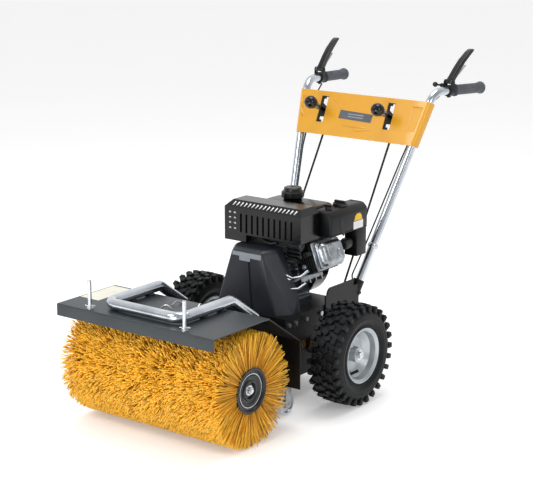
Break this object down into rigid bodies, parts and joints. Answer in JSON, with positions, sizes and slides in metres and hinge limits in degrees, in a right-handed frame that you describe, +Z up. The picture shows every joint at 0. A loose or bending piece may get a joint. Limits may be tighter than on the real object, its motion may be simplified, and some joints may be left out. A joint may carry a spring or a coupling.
{
  "type": "walk behind sweeper",
  "caption": "Walk behind power sweeper: driven cylindrical brush on a swivelling head, engine, two drive wheels and a pair of operator handles.",
  "frame": {"origin": "on the ground, under the middle of the whole machine's bounding box", "axes": "+X to the machine's left, +Y to its rear where the operator walks, +Z up"},
  "size_m": [0.714, 1.4864, 1.0409],
  "materials": {
    "chassis_paint": "satin black powder coat",
    "head_paint": "satin black powder coat",
    "cover_plastic": "moulded charcoal plastic",
    "zinc_plate": "bright zinc plate",
    "bronze": "sintered bronze",
    "cast_alloy": "die cast, shot blasted",
    "black_iron": "heat resistant black paint on fins",
    "engine_black": "gloss black paint on pressed sheet",
    "engine_plastic": "moulded black plastic",
    "muffler_steel": "heat dulled sheet steel",
    "belt_rubber": "matt",
    "satin_chrome": "satin chrome tube",
    "panel_paint": "amber yellow semi gloss",
    "grip_rubber": "soft grey",
    "lever_plastic": "moulded black",
    "rod_paint": "black",
    "bare_steel": "machined",
    "pulley_iron": "machined cast iron",
    "friction_rubber": "rubber faced",
    "rim_paint": "silver paint",
    "tyre_rubber": "matt, lugged",
    "hood_paint": "slate grey semi gloss",
    "hub_plastic": "moulded black",
    "bristle_fibre": "golden yellow polypropylene strands"
  },
  "bodies": {
    "chassis": {"chassis_box": "chassis_paint", "engine_deck": "chassis_paint", "bottom_cover": "chassis_paint", "deck_bolts": "zinc_plate", "axle_bushes": "bronze", "swivel_pins": "zinc_plate", "belt_cover": "cover_plastic", "crankcase": "cast_alloy", "cylinder": "black_iron", "rocker_cover": "cast_alloy", "fan_housing": "engine_black", "recoil_cover": "engine_black", "muffler": "muffler_steel", "muffler_guard": "engine_black", "fuel_tank": "engine_black", "heater_box": "engine_plastic", "carburettor": "cast_alloy", "spark_plug": "engine_plastic", "drive_belts": "belt_rubber", "handle_brackets": "chassis_paint", "left_handle_tube": "satin_chrome", "right_handle_tube": "satin_chrome", "control_panel": "panel_paint", "panel_frame": "chassis_paint", "grips": "grip_rubber", "lever_mounts": "chassis_paint", "clutch_cables": "belt_rubber"},
    "starter_grip": {"starter_grip": "engine_plastic"},
    "fuel_cap": {"fuel_cap": "engine_plastic"},
    "choke_knob": {"choke_knob": "engine_plastic"},
    "throttle_knob": {"throttle_knob": "engine_plastic"},
    "oil_dipstick": {"oil_dipstick": "engine_plastic"},
    "left_clutch_lever": {"left_clutch_lever": "lever_plastic"},
    "right_clutch_lever": {"right_clutch_lever": "lever_plastic"},
    "lock_knob": {"lock_knob": "lever_plastic"},
    "speed_lever": {"speed_lever": "lever_plastic"},
    "swivel_lever": {"swivel_lever": "lever_plastic"},
    "speed_rod": {"speed_rod": "rod_paint"},
    "swivel_rod": {"swivel_rod": "rod_paint"},
    "crankshaft": {"crankshaft": "bare_steel"},
    "brush_pulley": {"brush_pulley": "pulley_iron"},
    "friction_disc": {"friction_disc": "pulley_iron"},
    "friction_wheel": {"friction_wheel": "friction_rubber"},
    "drive_shaft": {"drive_shaft": "bare_steel"},
    "worm_shaft": {"worm_shaft": "bare_steel"},
    "drive_wheels": {"axle": "bare_steel", "wheel_rims": "rim_paint", "tyres": "tyre_rubber"},
    "brush_head": {"head_frame": "head_paint", "gearbox": "head_paint", "hood": "hood_paint", "rear_guard": "head_paint", "bumper": "satin_chrome", "accessory_pins": "zinc_plate", "left_caster_fork": "zinc_plate", "right_caster_fork": "zinc_plate"},
    "left_caster": {"left_caster_wheel": "zinc_plate"},
    "right_caster": {"right_caster_wheel": "zinc_plate"},
    "brush": {"brush_core": "hub_plastic", "bristles": "bristle_fibre"}
  },
  "joints": [
    {"name": "starter_pull", "type": "slide", "parent": "chassis", "child": "starter_grip", "axis": [0, 0, 1], "range_m": [0, 0.6]},
    {"name": "fuel_cap_turn", "type": "hinge", "parent": "chassis", "child": "fuel_cap", "pos_m": [0, 0.0378, 0.604], "axis": [0, 0, 1], "range_deg": [0, 90]},
    {"name": "choke_turn", "type": "hinge", "parent": "chassis", "child": "choke_knob", "pos_m": [0.168, -0.0012, 0.5935], "axis": [0, 0, 1], "range_deg": [0, 90]},
    {"name": "throttle_turn", "type": "hinge", "parent": "chassis", "child": "throttle_knob", "pos_m": [0.164, 0.0688, 0.5935], "axis": [0, 0, 1], "range_deg": [0, 75]},
    {"name": "dipstick_turn", "type": "hinge", "parent": "chassis", "child": "oil_dipstick", "pos_m": [0.1, -0.0927, 0.359], "axis": [0, -1, 0], "range_deg": [0, 360]},
    {"name": "left_clutch", "type": "hinge", "parent": "chassis", "child": "left_clutch_lever", "pos_m": [0.2639, 0.55801, 0.93987], "axis": [0.9946, -0.1039, 0], "range_deg": [-29, 0]},
    {"name": "right_clutch", "type": "hinge", "parent": "chassis", "child": "right_clutch_lever", "pos_m": [-0.2639, 0.55801, 0.93987], "axis": [0.9946, 0.1039, 0], "range_deg": [-29, 0]},
    {"name": "lock_slide", "type": "slide", "parent": "chassis", "child": "lock_knob", "axis": [-0.9946, 0.1039, 0], "range_m": [0, 0.008]},
    {"name": "speed_lever_turn", "type": "hinge", "parent": "chassis", "child": "speed_lever", "pos_m": [0.12, 0.47577, 0.80124], "axis": [1, 0, 0], "range_deg": [-25, 25]},
    {"name": "swivel_lever_turn", "type": "hinge", "parent": "chassis", "child": "swivel_lever", "pos_m": [-0.15, 0.47577, 0.80124], "axis": [1, 0, 0], "range_deg": [-25, 25]},
    {"name": "speed_rod_slide", "type": "slide", "parent": "chassis", "child": "speed_rod", "axis": [0, -0.5141, -0.8577], "range_m": [-0.0175, 0.0175]},
    {"name": "swivel_rod_slide", "type": "slide", "parent": "chassis", "child": "swivel_rod", "axis": [0, -0.5141, -0.8577], "range_m": [-0.0175, 0.0175]},
    {"name": "drive_shaft_spin", "type": "hinge", "parent": "chassis", "child": "drive_shaft", "pos_m": [0, -0.1189, 0.17859], "axis": [1, 0, 0], "continuous": true},
    {"name": "friction_wheel_shift", "type": "slide", "parent": "drive_shaft", "child": "friction_wheel", "axis": [1, 0, 0], "range_m": [-0.0405, 0.0405]},
    {"name": "head_swivel", "type": "hinge", "parent": "chassis", "child": "brush_head", "pos_m": [0, -0.2722, 0.18], "axis": [0, 0, 1], "range_deg": [-15.5, 15.5]},
    {"name": "brush_spin", "type": "hinge", "parent": "brush_head", "child": "brush", "pos_m": [0, -0.5632, 0.175], "axis": [1, 0, 0], "continuous": true},
    {"name": "crankshaft_spin", "type": "hinge", "parent": "chassis", "child": "crankshaft", "pos_m": [0, -0.0672, 0.387], "axis": [0, 1, 0], "continuous": true},
    {"name": "brush_pulley_spin", "type": "hinge", "parent": "chassis", "child": "brush_pulley", "pos_m": [0, -0.0672, 0.225], "axis": [0, 1, 0], "continuous": true},
    {"name": "worm_shaft_spin", "type": "hinge", "parent": "brush_head", "child": "worm_shaft", "pos_m": [0, -0.0672, 0.225], "axis": [0, 1, 0], "continuous": true},
    {"name": "friction_disc_spin", "type": "hinge", "parent": "chassis", "child": "friction_disc", "pos_m": [0, -0.0672, 0.17859], "axis": [0, 1, 0], "continuous": true},
    {"name": "wheel_spin", "type": "hinge", "parent": "chassis", "child": "drive_wheels", "pos_m": [0, -0.0672, 0.163], "axis": [1, 0, 0], "continuous": true},
    {"name": "left_caster_spin", "type": "hinge", "parent": "brush_head", "child": "left_caster", "pos_m": [0.2, -0.2792, 0.036], "axis": [1, 0, 0], "continuous": true},
    {"name": "right_caster_spin", "type": "hinge", "parent": "brush_head", "child": "right_caster", "pos_m": [-0.2, -0.2792, 0.036], "axis": [1, 0, 0], "continuous": true}
  ],
  "couplings": [
    {"joint": "speed_rod_slide", "follows": "speed_lever_turn", "m_per_rad": 0.039},
    {"joint": "friction_wheel_shift", "follows": "speed_lever_turn", "m_per_rad": 0.09167},
    {"joint": "swivel_rod_slide", "follows": "swivel_lever_turn", "m_per_rad": 0.039},
    {"joint": "head_swivel", "follows": "swivel_lever_turn", "ratio": 0.6},
    {"joint": "crankshaft_spin", "follows": "brush_spin", "ratio": -30},
    {"joint": "brush_pulley_spin", "follows": "brush_spin", "ratio": -14},
    {"joint": "worm_shaft_spin", "follows": "brush_spin", "ratio": -14},
    {"joint": "friction_disc_spin", "follows": "brush_spin", "ratio": -15},
    {"joint": "drive_shaft_spin", "follows": "wheel_spin", "ratio": -2.1765}
  ]
}
